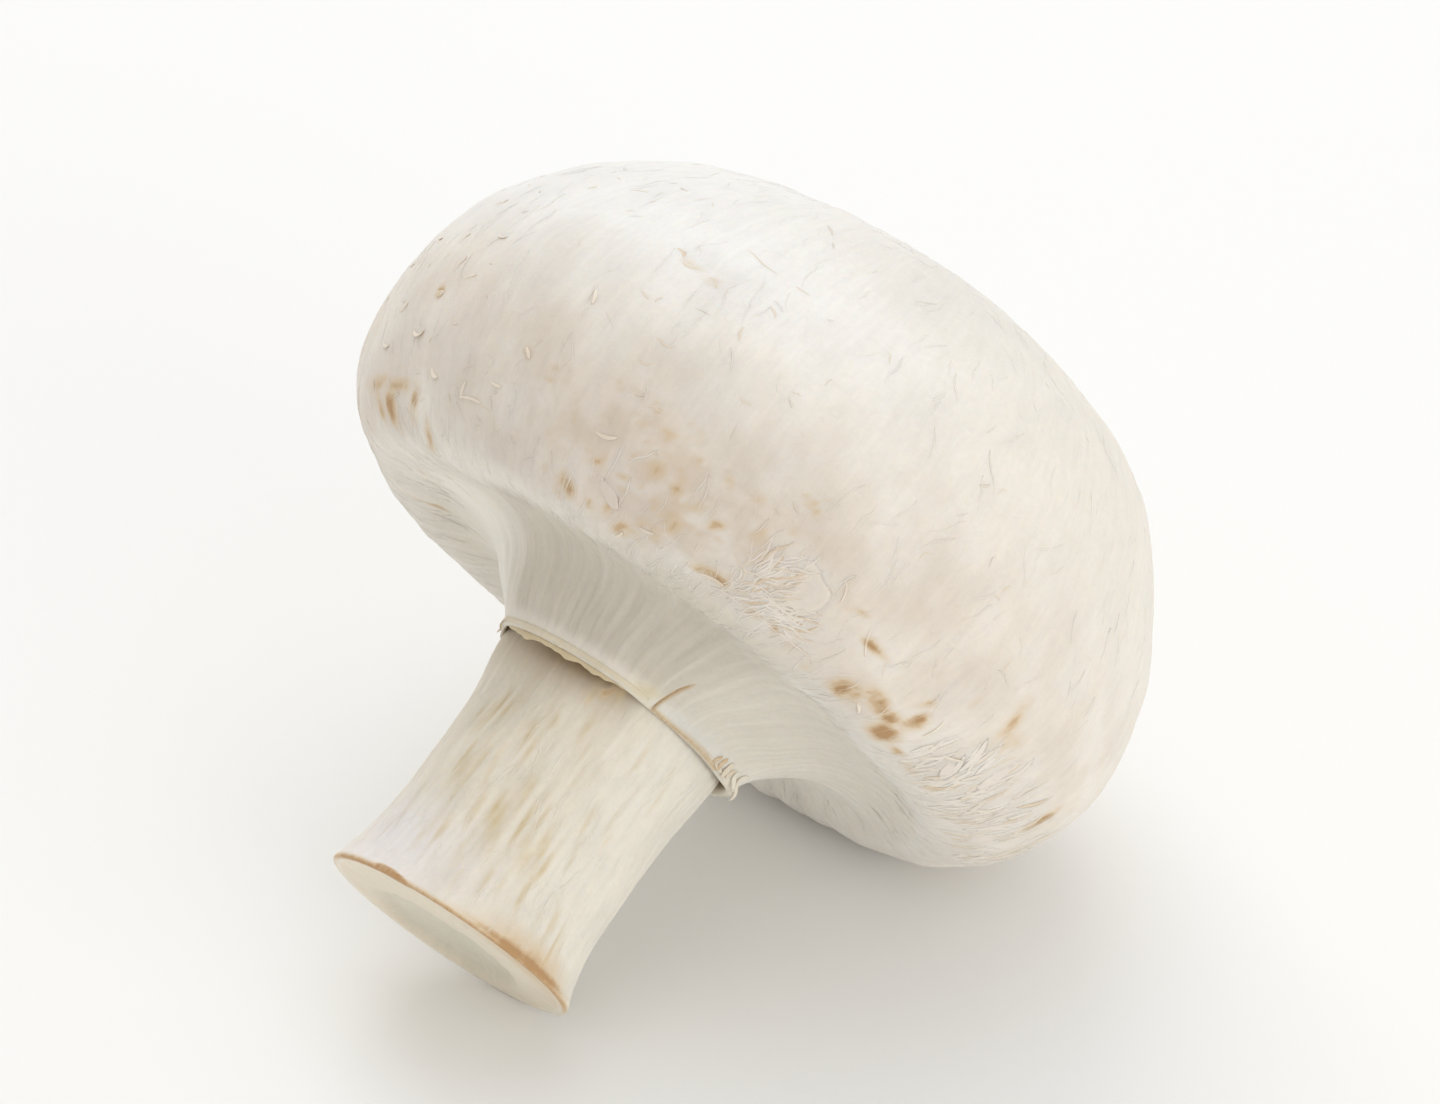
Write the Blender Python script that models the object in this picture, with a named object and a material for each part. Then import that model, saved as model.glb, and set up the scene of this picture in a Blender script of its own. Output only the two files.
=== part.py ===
"""A closed white button mushroom with its cut stem, lying on its side.

The cap, the veil that still closes it and the stem have grown as one body, so the
part is one solid. It is drawn standing on its cut, with Z along the stem, as an
outline that is spun round. The cap is then made a little out of round, and the
mushroom is laid down on the edge of its cut and the side of its cap.
"""

import math

import bmesh
import bpy
from mathutils import Matrix, Vector
from mathutils.geometry import interpolate_bezier

# Driving dimensions in metres. Heights are above the cut, radii from the stem's axis.
CAP_RADIUS = 0.0261
CAP_WIDEST_HEIGHT = 0.0307
CAP_TOP_HEIGHT = 0.0492
RIM_RADIUS = 0.0198
RIM_HEIGHT = 0.0212
VEIL_RADIUS = 0.0156
VEIL_HEIGHT = 0.0220
HEM_RADIUS = 0.0088
HEM_HEIGHT = 0.0170
HEM_THICKNESS = 0.0005
HEM_POCKET = 0.0013
NECK_RADIUS = 0.0075
WAIST_RADIUS = 0.0072
WAIST_HEIGHT = 0.0114
FOOT_RADIUS = 0.0083
CUT_EDGE_ROUND = 0.00025

# How far each curve of the outline keeps its direction before it bends away, in metres.
FLARE_NARROWING = 0.00055
FLARE_RISE = 0.0017
WAIST_REACH_DOWN = 0.0062
WAIST_REACH_UP = 0.0030
NECK_REACH_DOWN = 0.0025
HEM_REACH_OUT = 0.0005
HEM_REACH_UP = 0.0020
VEIL_REACH_IN = 0.0040
RIM_REACH = 0.0018

# How full each arc of the cap is: 2 is an ellipse, more is squarer.
SIDE_FULLNESS = 1.85
CROWN_WIDTH_FULLNESS = 2.5
CROWN_HEIGHT_FULLNESS = 1.9

# Growth out of true. An azimuth is measured round the stem from the resting side.
HEAVY_SIDE = math.radians(-52)
CAP_OFFSET = 0.0007
CAP_CANT = math.radians(0.9)
CROWN_OFFSET = 0.0007
LOBES = 3
LOBE_DEPTH = 0.019
LOBE_AZIMUTH = math.radians(-10)
GROWTH_BLEND = 0.0035

# The cut is a little oblique, and the side of the cap on the ground has grown flat.
CUT_SLANT = math.radians(1.5)
CUT_SLANT_REACH = 0.0060
FLAT_DEPTH = 0.045
FLAT_HALF_ANGLE = math.radians(55)

# Facets: divisions round the stem, and rows along the cap's two arcs.
SEGMENTS = 54
SIDE_ROWS = 7
CROWN_ROWS = 12

MERGE_DISTANCE = 1e-6
SHARP_ANGLE = math.radians(50)
FLESH_COLOUR = (0.83, 0.76, 0.67, 1.0)
FLESH_ROUGHNESS = 0.75


def clear_scene():
    for obj in list(bpy.data.objects):
        bpy.data.objects.remove(obj, do_unlink=True)


def curve(start, handle_a, handle_b, end, rows):
    """Points (radius, 0, height) of one Bezier stretch of the outline, without its first."""
    knots = [Vector((radius, 0.0, height)) for radius, height in (start, handle_a, handle_b, end)]
    return interpolate_bezier(*knots, rows + 1)[1:]


def stem_outline():
    """From the middle of the cut, round its edge, in to the waist and up to the neck."""
    edge = (FOOT_RADIUS - CUT_EDGE_ROUND, 0.0)
    corner = (FOOT_RADIUS, 0.0)
    side = (FOOT_RADIUS, CUT_EDGE_ROUND)
    flare = (FOOT_RADIUS - FLARE_NARROWING, CUT_EDGE_ROUND + FLARE_RISE)
    waist = (WAIST_RADIUS, WAIST_HEIGHT)
    neck = (NECK_RADIUS, HEM_HEIGHT)
    points = [Vector((share * edge[0], 0.0, 0.0)) for share in (0.0, 0.5, 1.0)]
    points += curve(edge, corner, corner, side, rows=2)
    points += curve(side, flare, (WAIST_RADIUS, WAIST_HEIGHT - WAIST_REACH_DOWN), waist, rows=5)
    above_waist = (WAIST_RADIUS, WAIST_HEIGHT + WAIST_REACH_UP)
    below_neck = (NECK_RADIUS, HEM_HEIGHT - NECK_REACH_DOWN)
    return points + curve(waist, above_waist, below_neck, neck, rows=3)


def hem_outline():
    """The torn edge of the veil, which stands off the stem over a narrow pocket."""
    neck = (NECK_RADIUS, HEM_HEIGHT)
    inner = (HEM_RADIUS - HEM_THICKNESS, HEM_HEIGHT)
    outer = (HEM_RADIUS, HEM_HEIGHT)
    roof = HEM_HEIGHT + HEM_POCKET
    lip = HEM_HEIGHT - HEM_THICKNESS
    points = curve(neck, (NECK_RADIUS, roof), (inner[0], roof), inner, rows=4)
    return points + curve(inner, (inner[0], lip), (outer[0], lip), outer, rows=2)


def veil_outline():
    """The veil, hollow like a trumpet, from its hem out to the cap's rim."""
    hem = (HEM_RADIUS, HEM_HEIGHT)
    vault = (VEIL_RADIUS, VEIL_HEIGHT)
    rim = (RIM_RADIUS, RIM_HEIGHT)
    above_hem = (HEM_RADIUS + HEM_REACH_OUT, HEM_HEIGHT + HEM_REACH_UP)
    points = curve(hem, above_hem, (VEIL_RADIUS - VEIL_REACH_IN, VEIL_HEIGHT), vault, rows=6)
    outward = (VEIL_RADIUS + RIM_REACH, VEIL_HEIGHT)
    return points + curve(vault, outward, (RIM_RADIUS - RIM_REACH, RIM_HEIGHT), rim, rows=3)


def side_outline():
    """A quarter of a super-ellipse, from the rim out and up to the cap's widest ring."""
    points = []
    for row in range(1, SIDE_ROWS + 1):
        turn = math.pi / 2 * row / SIDE_ROWS
        radius = RIM_RADIUS + (CAP_RADIUS - RIM_RADIUS) * math.sin(turn) ** (2 / SIDE_FULLNESS)
        drop = (CAP_WIDEST_HEIGHT - RIM_HEIGHT) * abs(math.cos(turn)) ** (2 / SIDE_FULLNESS)
        points.append(Vector((radius, 0.0, CAP_WIDEST_HEIGHT - drop)))
    return points


def crown_outline():
    """A quarter of a super-ellipse, from the widest ring over the crown to the axis."""
    points = []
    for row in range(1, CROWN_ROWS):
        turn = math.pi / 2 * row / CROWN_ROWS
        radius = CAP_RADIUS * math.cos(turn) ** (2 / CROWN_WIDTH_FULLNESS)
        rise = (CAP_TOP_HEIGHT - CAP_WIDEST_HEIGHT) * math.sin(turn) ** (2 / CROWN_HEIGHT_FULLNESS)
        points.append(Vector((radius, 0.0, CAP_WIDEST_HEIGHT + rise)))
    return points + [Vector((0.0, 0.0, CAP_TOP_HEIGHT))]


def spun_solid(points):
    """The outline spun once round Z, closed at both poles, with its faces outward."""
    solid = bmesh.new()
    verts = [solid.verts.new(point) for point in points]
    edges = [solid.edges.new(pair) for pair in zip(verts, verts[1:])]
    full_turn = 2 * math.pi
    centre, axis = (0, 0, 0), (0, 0, 1)
    bmesh.ops.spin(solid, geom=verts + edges, cent=centre, axis=axis, angle=full_turn, steps=SEGMENTS)
    bmesh.ops.remove_doubles(solid, verts=solid.verts, dist=MERGE_DISTANCE)
    bmesh.ops.recalc_face_normals(solid, faces=solid.faces)
    return solid


def plan_factor(azimuth):
    """How the cap's radius changes round the stem: three faint lobes and one flat."""
    lobes = LOBE_DEPTH * math.cos(LOBES * (azimuth - LOBE_AZIMUTH))
    share = max(-1.0, min(1.0, azimuth / FLAT_HALF_ANGLE))
    return 1 + lobes - FLAT_DEPTH * math.cos(share * math.pi / 2) ** 2


def heavy_direction():
    return Vector((math.cos(HEAVY_SIDE), math.sin(HEAVY_SIDE), 0.0))


def grow_cap(solid):
    """Makes the cap out of round, off centre and canted, fading in above the hem."""
    side = heavy_direction()
    cant = math.tan(CAP_CANT)
    for vert in solid.verts:
        height = vert.co.z
        share = max(0.0, min(1.0, (height - HEM_HEIGHT - HEM_POCKET) / GROWTH_BLEND))
        share = share * share * (3 - 2 * share)
        factor = plan_factor(math.atan2(vert.co.y, vert.co.x))
        vert.co.xy *= 1 + share * (factor - 1)
        crown = max(0.0, (height - CAP_WIDEST_HEIGHT) / (CAP_TOP_HEIGHT - CAP_WIDEST_HEIGHT))
        sideways = CAP_OFFSET + cant * (height - RIM_HEIGHT)
        vert.co.z -= share * cant * vert.co.dot(side)
        vert.co += side * (share * sideways + crown ** 2 * CROWN_OFFSET)


def slant_cut(solid):
    """Leaves the cut oblique: the stem is longer on the side away from the heavy one."""
    side = heavy_direction()
    for vert in solid.verts:
        share = max(0.0, 1 - vert.co.z / CUT_SLANT_REACH)
        vert.co.z += share ** 2 * math.tan(CUT_SLANT) * vert.co.dot(side)


def resting_tilt(solid):
    """The turn about Y that brings the edge of the cut and the cap to one level."""
    foot = [vert.co.copy() for vert in solid.verts if vert.co.z < WAIST_HEIGHT]
    cap = [vert.co.copy() for vert in solid.verts if vert.co.z > RIM_HEIGHT]
    upright, flat = 0.0, math.pi / 2
    for _ in range(40):
        tilt = (upright + flat) / 2
        up = Vector((-math.sin(tilt), 0.0, math.cos(tilt)))
        if min(point.dot(up) for point in cap) > min(point.dot(up) for point in foot):
            upright = tilt
        else:
            flat = tilt
    return tilt


def lay_down(solid):
    """Turns the mushroom onto its side, and centres it over the origin on the ground."""
    turn = Matrix.Rotation(resting_tilt(solid), 4, "Y")
    bmesh.ops.transform(solid, matrix=turn, verts=solid.verts)
    columns = list(zip(*(vert.co for vert in solid.verts)))
    middle_x, middle_y, _ = [(min(column) + max(column)) / 2 for column in columns]
    shift = Vector((-middle_x, -middle_y, -min(columns[2])))
    bmesh.ops.translate(solid, vec=shift, verts=solid.verts)


def flesh_material():
    material = bpy.data.materials.new("mushroom_flesh")
    material.use_nodes = True
    shader = material.node_tree.nodes["Principled BSDF"]
    shader.inputs["Base Color"].default_value = FLESH_COLOUR
    shader.inputs["Roughness"].default_value = FLESH_ROUGHNESS
    shader.inputs["Metallic"].default_value = 0.0
    return material


def build_mushroom():
    outline = stem_outline() + hem_outline() + veil_outline() + side_outline() + crown_outline()
    solid = spun_solid(outline)
    grow_cap(solid)
    slant_cut(solid)
    lay_down(solid)
    mesh = bpy.data.meshes.new("mushroom")
    solid.to_mesh(mesh)
    solid.free()
    mesh.shade_smooth()
    mesh.set_sharp_from_angle(angle=SHARP_ANGLE)
    mesh.materials.append(flesh_material())
    mushroom = bpy.data.objects.new("mushroom", mesh)
    bpy.context.scene.collection.objects.link(mushroom)


clear_scene()
build_mushroom()
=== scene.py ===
# %% [markdown]
# # A closed button mushroom, lying on its side
# The packed model holds the mushroom's true shape and place as one plain solid. This
# notebook grows the skin that the eye sees over it: relief, bruises, flakes, fibres and
# the torn hem of the veil. Every shape is a formula worked out with numpy over a whole
# grid at once, in millimetres, with the mushroom standing on its cut. One last function
# lays each piece on its side, where the packed model lies.

# %% Load the packed model
import math
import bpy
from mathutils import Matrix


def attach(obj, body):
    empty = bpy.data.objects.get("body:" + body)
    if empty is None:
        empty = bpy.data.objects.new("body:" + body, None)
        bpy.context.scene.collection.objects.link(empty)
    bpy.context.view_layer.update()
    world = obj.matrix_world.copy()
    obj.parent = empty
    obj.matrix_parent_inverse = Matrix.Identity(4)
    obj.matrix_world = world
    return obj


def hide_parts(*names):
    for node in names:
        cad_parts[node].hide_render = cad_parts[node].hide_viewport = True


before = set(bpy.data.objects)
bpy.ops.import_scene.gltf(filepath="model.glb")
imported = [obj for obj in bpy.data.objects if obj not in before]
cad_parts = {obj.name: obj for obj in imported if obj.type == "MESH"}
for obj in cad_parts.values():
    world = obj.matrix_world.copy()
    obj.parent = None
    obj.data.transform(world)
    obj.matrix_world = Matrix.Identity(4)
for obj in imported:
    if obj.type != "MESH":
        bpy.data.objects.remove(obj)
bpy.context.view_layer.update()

from types import SimpleNamespace

import bpy
import numpy as np
from mathutils import Vector

MILLIMETRE = 0.001

# %% [markdown]
# ## The outline
# A mushroom is close to a turned shape, so it starts as one outline from the middle of
# the cut to the top of the cap. Bezier curves suit the stem and the veil, because they
# keep a direction before they bend. The cap is two quarter super-ellipses, which are
# ellipses with a fullness that can be set. The sizes are the solid's own.

# %% Sizes in millimetres, with heights above the cut and radii from the stem's axis
CAP_RADIUS, CAP_WIDEST_HEIGHT, CAP_TOP_HEIGHT = 26.1, 30.7, 49.2
RIM_RADIUS, RIM_HEIGHT = 19.8, 21.2
VEIL_RADIUS, VEIL_HEIGHT = 15.6, 22.0
HEM_RADIUS, HEM_HEIGHT, HEM_THICKNESS, HEM_POCKET = 8.8, 17.0, 0.5, 1.3
NECK_RADIUS, WAIST_RADIUS, WAIST_HEIGHT, FOOT_RADIUS = 7.5, 7.2, 11.4, 8.3
CUT_EDGE_ROUND = 0.25
FLARE_NARROWING, FLARE_RISE, WAIST_REACH_DOWN, WAIST_REACH_UP, NECK_REACH_DOWN = 0.55, 1.7, 6.2, 3.0, 2.5
HEM_REACH_OUT, HEM_REACH_UP, VEIL_REACH_IN, RIM_REACH = 0.5, 2.0, 4.0, 1.8
SIDE_FULLNESS, CROWN_WIDTH_FULLNESS, CROWN_HEIGHT_FULLNESS = 1.85, 2.5, 1.9


# %% Draw the outline and measure along it
ARC_POINTS = 400


def bezier(start, handle_a, handle_b, end, count=60):
    """Points of a cubic Bezier: its four corners weighted by the Bernstein polynomials."""
    t = np.linspace(0, 1, count)[:, None]
    corners = [np.array(corner) for corner in (start, handle_a, handle_b, end)]
    weights = [(1 - t) ** 3, 3 * (1 - t) ** 2 * t, 3 * (1 - t) * t ** 2, t ** 3]
    return sum(weight * corner for weight, corner in zip(weights, corners))


cut_edge, foot_side = (FOOT_RADIUS - CUT_EDGE_ROUND, 0.0), (FOOT_RADIUS, CUT_EDGE_ROUND)
waist, neck = (WAIST_RADIUS, WAIST_HEIGHT), (NECK_RADIUS, HEM_HEIGHT)
hem_inner, hem = (HEM_RADIUS - HEM_THICKNESS, HEM_HEIGHT), (HEM_RADIUS, HEM_HEIGHT)
vault, rim = (VEIL_RADIUS, VEIL_HEIGHT), (RIM_RADIUS, RIM_HEIGHT)
pocket_roof, hem_lip = HEM_HEIGHT + HEM_POCKET, HEM_HEIGHT - HEM_THICKNESS
quarter = np.linspace(0, math.pi / 2, ARC_POINTS)
side_rise, crown_rise = CAP_WIDEST_HEIGHT - RIM_HEIGHT, CAP_TOP_HEIGHT - CAP_WIDEST_HEIGHT
cap_side = np.stack([
    RIM_RADIUS + (CAP_RADIUS - RIM_RADIUS) * np.sin(quarter) ** (2 / SIDE_FULLNESS),
    CAP_WIDEST_HEIGHT - side_rise * np.abs(np.cos(quarter)) ** (2 / SIDE_FULLNESS),
], axis=1)
cap_crown = np.stack([
    CAP_RADIUS * np.abs(np.cos(quarter)) ** (2 / CROWN_WIDTH_FULLNESS),
    CAP_WIDEST_HEIGHT + crown_rise * np.sin(quarter) ** (2 / CROWN_HEIGHT_FULLNESS),
], axis=1)
stretches = {
    "cut": np.array([(0.0, 0.0), cut_edge]),
    "edge": bezier(cut_edge, (FOOT_RADIUS, 0), (FOOT_RADIUS, 0), foot_side),
    "foot": bezier(foot_side, (FOOT_RADIUS - FLARE_NARROWING, CUT_EDGE_ROUND + FLARE_RISE),
                   (WAIST_RADIUS, WAIST_HEIGHT - WAIST_REACH_DOWN), waist),
    "neck": bezier(waist, (WAIST_RADIUS, WAIST_HEIGHT + WAIST_REACH_UP),
                   (NECK_RADIUS, HEM_HEIGHT - NECK_REACH_DOWN), neck),
    "pocket": bezier(neck, (NECK_RADIUS, pocket_roof), (hem_inner[0], pocket_roof), hem_inner),
    "hem": bezier(hem_inner, (hem_inner[0], hem_lip), (HEM_RADIUS, hem_lip), hem),
    "vault": bezier(hem, (HEM_RADIUS + HEM_REACH_OUT, HEM_HEIGHT + HEM_REACH_UP),
                    (VEIL_RADIUS - VEIL_REACH_IN, VEIL_HEIGHT), vault),
    "rim": bezier(vault, (VEIL_RADIUS + RIM_REACH, VEIL_HEIGHT), (RIM_RADIUS - RIM_REACH, RIM_HEIGHT), rim),
    "widest": cap_side,
    "top": cap_crown,
}
outline = np.concatenate(list(stretches.values()))
outline_distance = np.concatenate([[0.0], np.cumsum(np.hypot(*np.diff(outline, axis=0).T))])
ends_at = np.cumsum([len(points) for points in stretches.values()]) - 1
END = SimpleNamespace(**dict(zip(stretches, outline_distance[ends_at])))
print("each stretch ends at, mm:", {name: round(end, 1) for name, end in vars(END).items()})

# %% [markdown]
# ## Growth
# Nothing grown is quite round. The cap has three faint lobes and a flat on the side it
# lies on, and it sits a little off centre and canted. The cut is slightly oblique. The
# torn hem of the veil stands off the stem on some sides and clings to it on others.

# %% Growth out of true, the same as in the solid
HEAVY_SIDE, CAP_OFFSET, CAP_CANT, CROWN_OFFSET = math.radians(-52), 0.7, math.radians(0.9), 0.7
LOBES, LOBE_DEPTH, LOBE_AZIMUTH, GROWTH_BLEND = 3, 0.019, math.radians(-10), 3.5
CUT_SLANT, CUT_SLANT_REACH = math.radians(1.5), 6.0
FLAT_DEPTH, FLAT_HALF_ANGLE = 0.045, math.radians(55)
CLOSED_GAP, HEM_GAP_REACH = 0.12, 3.5


def fade(value, low, high):
    """0 up to low, 1 from high, and a smooth S between: three squares less two cubes."""
    share = np.clip((value - low) / (high - low), 0, 1)
    return share * share * (3 - 2 * share)


def turned_from(azimuth, middle):
    """The angle from a middle azimuth in degrees, between minus and plus half a turn."""
    return (azimuth - np.radians(middle) + math.pi) % (2 * math.pi) - math.pi


def near(azimuth, middle, reach, power=2):
    """1 at a middle azimuth, fading on both sides over a reach in degrees. It is the
    exponential of minus the share of the reach to a power: 2 is a bell, more is flatter."""
    return np.exp(-(turned_from(azimuth, middle) / math.radians(reach)) ** power)


def hem_gap(azimuth):
    """How open the pocket behind the hem is: 1 stands off the stem, near 0 clings to it."""
    clinging, pinched, folded = near(azimuth, 258, 36, 6), near(azimuth, 116, 24, 4), near(azimuth, 30, 35)
    return 1 - 0.85 * clinging - 0.65 * pinched - 0.5 * folded


def standing(azimuth, distance):
    """Outline points turned to an azimuth, then grown out of true as the solid is."""
    radius = np.interp(distance, outline_distance, outline[:, 0])
    height = np.interp(distance, outline_distance, outline[:, 1])
    held = 1 - fade(distance, END.hem, END.hem + HEM_GAP_REACH)
    behind = fade(distance, END.neck - 0.01, END.neck + 0.6) * held
    pulled_in = np.maximum(radius - NECK_RADIUS - CLOSED_GAP, 0)
    radius = radius - behind * (1 - hem_gap(azimuth)) * pulled_in
    share = fade(height, HEM_HEIGHT + HEM_POCKET, HEM_HEIGHT + HEM_POCKET + GROWTH_BLEND)
    lobes = LOBE_DEPTH * np.cos(LOBES * (azimuth - LOBE_AZIMUTH))
    flat = np.cos(np.clip(turned_from(azimuth, 0) / FLAT_HALF_ANGLE, -1, 1) * math.pi / 2) ** 2
    radius = radius * (1 + share * (lobes - FLAT_DEPTH * flat))
    side = np.array([math.cos(HEAVY_SIDE), math.sin(HEAVY_SIDE)])
    across = radius * np.cos(azimuth - HEAVY_SIDE)
    crown = np.clip((height - CAP_WIDEST_HEIGHT) / (CAP_TOP_HEIGHT - CAP_WIDEST_HEIGHT), 0, 1)
    sideways = share * (CAP_OFFSET + math.tan(CAP_CANT) * (height - RIM_HEIGHT)) + crown ** 2 * CROWN_OFFSET
    slant = np.clip(1 - height / CUT_SLANT_REACH, 0, 1) ** 2 * math.tan(CUT_SLANT) * across
    height = height - share * math.tan(CAP_CANT) * across + slant
    plane = np.stack([radius * np.cos(azimuth), radius * np.sin(azimuth)], axis=-1)
    plane = plane + sideways[..., None] * side
    return np.concatenate([plane, height[..., None]], axis=-1)


# %% A grid over the whole mushroom
COLUMNS = 476
# Where each band of rings starts along the outline, and how far apart its rings are.
row_steps = [
    (0.0, 0.6), (END.cut - 0.7, 0.12), (END.edge + 0.5, 0.75), (END.neck - 1.0, 0.25),
    (END.hem + 0.8, 0.3), (END.rim, 0.36), (END.widest, 0.55), (END.top, None),
]
row_parts = [
    np.linspace(start, end, round((end - start) / step), endpoint=False)
    for (start, step), (end, _) in zip(row_steps, row_steps[1:])
]
rows = np.concatenate(row_parts + [[END.top]])
turns = np.arange(COLUMNS) * 2 * math.pi / COLUMNS
azimuths, distances = np.meshgrid(turns, rows)
smooth = standing(azimuths, distances)
grid_height = np.interp(distances, outline_distance, outline[:, 1])
grid_radius = np.interp(distances, outline_distance, outline[:, 0])
print("grid of", len(rows), "rings by", COLUMNS)

# %% [markdown]
# ## Lying down
# A cut mushroom lies on the edge of its cut and the side of its cap. The turn that
# brings both down to one level is found by halving an interval, as it is in the solid.

# %% Find the resting turn, and the shift that centres the box over the origin
def turned_down(points, tilt):
    """A turn about Y, which brings the cap down on the side of +X."""
    along = points[..., 0] * math.cos(tilt) + points[..., 2] * math.sin(tilt)
    up = points[..., 2] * math.cos(tilt) - points[..., 0] * math.sin(tilt)
    return np.stack([along, points[..., 1], up], axis=-1)


HALVINGS = 40
flat_points = smooth.reshape(-1, 3)
foot_points = flat_points[flat_points[:, 2] < WAIST_HEIGHT]
cap_points = flat_points[flat_points[:, 2] > RIM_HEIGHT]
upright, level = 0.0, math.pi / 2
for _ in range(HALVINGS):
    TILT = (upright + level) / 2
    cap_low, foot_low = (turned_down(part, TILT)[:, 2].min() for part in (cap_points, foot_points))
    upright, level = (TILT, level) if cap_low > foot_low else (upright, TILT)
turned = turned_down(flat_points, TILT)
lowest, highest = turned.min(axis=0), turned.max(axis=0)
SHIFT = np.array([-(lowest[0] + highest[0]) / 2, -(lowest[1] + highest[1]) / 2, -lowest[2]])


def laid(points):
    """Points of the standing mushroom in millimetres, laid on their side, in metres."""
    return (turned_down(points, TILT) + SHIFT) * MILLIMETRE


print("resting tilt, degrees:", round(math.degrees(TILT), 2))

# %% [markdown]
# ## Closed surfaces from arrays
# Every piece here is a loft: rings of points, with a single point at each end, so no
# seam or hole is left. The faces follow from how the points are numbered, so they are
# counted out for all the lofts of a piece at once and put in the mesh as whole arrays.

# %% Make a mesh of lofts
def loft_faces(count, rings, columns):
    """Corner numbers of the quads between rings and the triangles round both end points."""
    size = 2 + (rings - 2) * columns
    ring, column = np.meshgrid(np.arange(rings - 3), np.arange(columns), indexing="ij")
    after = (column + 1) % columns
    low, high = 1 + ring * columns, 1 + (ring + 1) * columns
    quads = np.stack([low + column, low + after, high + after, high + column], axis=-1).reshape(-1, 4)
    last = np.arange(columns)
    following = (last + 1) % columns
    start = np.stack([0 * last, 1 + following, 1 + last], axis=-1)
    top = 1 + (rings - 3) * columns
    end = np.stack([top + last, top + following, 0 * last + size - 1], axis=-1)
    offsets = np.arange(count)[:, None, None] * size
    return (quads + offsets).reshape(-1, 4), (np.concatenate([start, end]) + offsets).reshape(-1, 3)


def loft_mesh(name, points):
    """A mesh of lofts. points has the shape (lofts, rings, columns, 3), in millimetres."""
    count, rings, columns, _ = points.shape
    inner = points[:, 1:-1].reshape(count, -1, 3)
    verts = np.concatenate([points[:, :1, 0], inner, points[:, -1:, 0]], axis=1).reshape(-1, 3)
    quads, triangles = loft_faces(count, rings, columns)
    corners = np.concatenate([quads.ravel(), triangles.ravel()])
    starts = np.concatenate([np.arange(len(quads)) * 4, len(quads) * 4 + np.arange(len(triangles)) * 3])
    mesh = bpy.data.meshes.new(name)
    mesh.vertices.add(len(verts))
    mesh.vertices.foreach_set("co", laid(verts).astype(np.float32).ravel())
    mesh.loops.add(len(corners))
    mesh.loops.foreach_set("vertex_index", corners.astype(np.int32))
    mesh.polygons.add(len(starts))
    mesh.polygons.foreach_set("loop_start", starts.astype(np.int32))
    mesh.update(calc_edges=True)
    mesh.shade_smooth()
    return mesh


def per_vertex(values):
    """Values on a (lofts, rings, columns) grid, cut down to one for each vertex."""
    count = values.shape[0]
    kind = values.shape[3:]
    inner = values[:, 1:-1].reshape(count, -1, *kind)
    return np.concatenate([values[:, :1, 0], inner, values[:, -1:, 0]], axis=1).reshape(-1, *kind)


def write_attribute(mesh, name, values):
    """Stores numbers (one per vertex), vectors (three) or linear colours (four)."""
    kinds = {1: ("FLOAT", "value"), 3: ("FLOAT_VECTOR", "vector"), 4: ("FLOAT_COLOR", "color")}
    kind, field = kinds[1 if values.ndim == 1 else values.shape[1]]
    layer = mesh.attributes.new(name, kind, "POINT")
    layer.data.foreach_set(field, values.astype(np.float32).ravel())


def skin_mesh(name, points, colours, places, marks):
    """A mesh of lofts with the three attributes that the flesh reads at every vertex."""
    mesh = loft_mesh(name, points)
    opaque = np.concatenate([colours, np.ones_like(colours[..., :1])], axis=-1)
    for attribute, values in (("tone", opaque), ("grain", places), ("bruise", marks)):
        write_attribute(mesh, attribute, per_vertex(values))
    return mesh


def add_piece(mesh, material):
    """Puts a mesh in the scene as a piece that goes with the mushroom's body."""
    piece = bpy.data.objects.new(mesh.name, mesh)
    bpy.context.scene.collection.objects.link(piece)
    mesh.materials.append(material)
    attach(piece, "root")
    print(f"{mesh.name}: {len(mesh.vertices)} points")
    return piece


# %% [markdown]
# ## Relief
# Living skin has relief at several sizes. Each size is a sum of cosine waves of about
# one length, running in random directions, which gives soft and even lumps with no
# pattern that repeats. Fed with the true position, the waves make lumps. Fed with a
# position whose direction along the stem is squeezed, they make long thin fibres.

# %% Waves, and places on the mushroom
def waves(points, length, seed, count=36):
    """Smooth noise of unit spread: many cosine waves with random directions and phases."""
    chance = np.random.default_rng(seed)
    directions = chance.normal(size=(count, 3))
    directions /= np.linalg.norm(directions, axis=1)[:, None]
    lengths = length * chance.uniform(0.7, 1.5, count)
    phases = chance.uniform(0, 2 * math.pi, count)
    total = np.zeros(points.shape[:-1])
    for direction, wave_length, phase in zip(directions, lengths, phases):
        total += np.cos(points @ (direction * 2 * math.pi / wave_length) + phase)
    return total * math.sqrt(2 / count)


def bell(value, middle, reach):
    """1 at a middle value, fading on both sides as a bell curve over a reach."""
    return np.exp(-((value - middle) / reach) ** 2)


def between(value, low, full, high, gone):
    """0 up to low, 1 from full to high and 0 from gone, with a smooth S on both sides."""
    return fade(value, low, full) * (1 - fade(value, high, gone))


CAP_GRAIN_RADIUS, STEM_GRAIN_RADIUS, CAP_WIDTH_NEAR_RIM = 20.0, 7.3, 23.5


def grain(azimuth, distance, radius, squeeze=0.12):
    """A place on a cylinder of one radius, with the length along the outline squeezed."""
    return np.stack([radius * np.cos(azimuth), radius * np.sin(azimuth), distance * squeeze], axis=-1)


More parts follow.
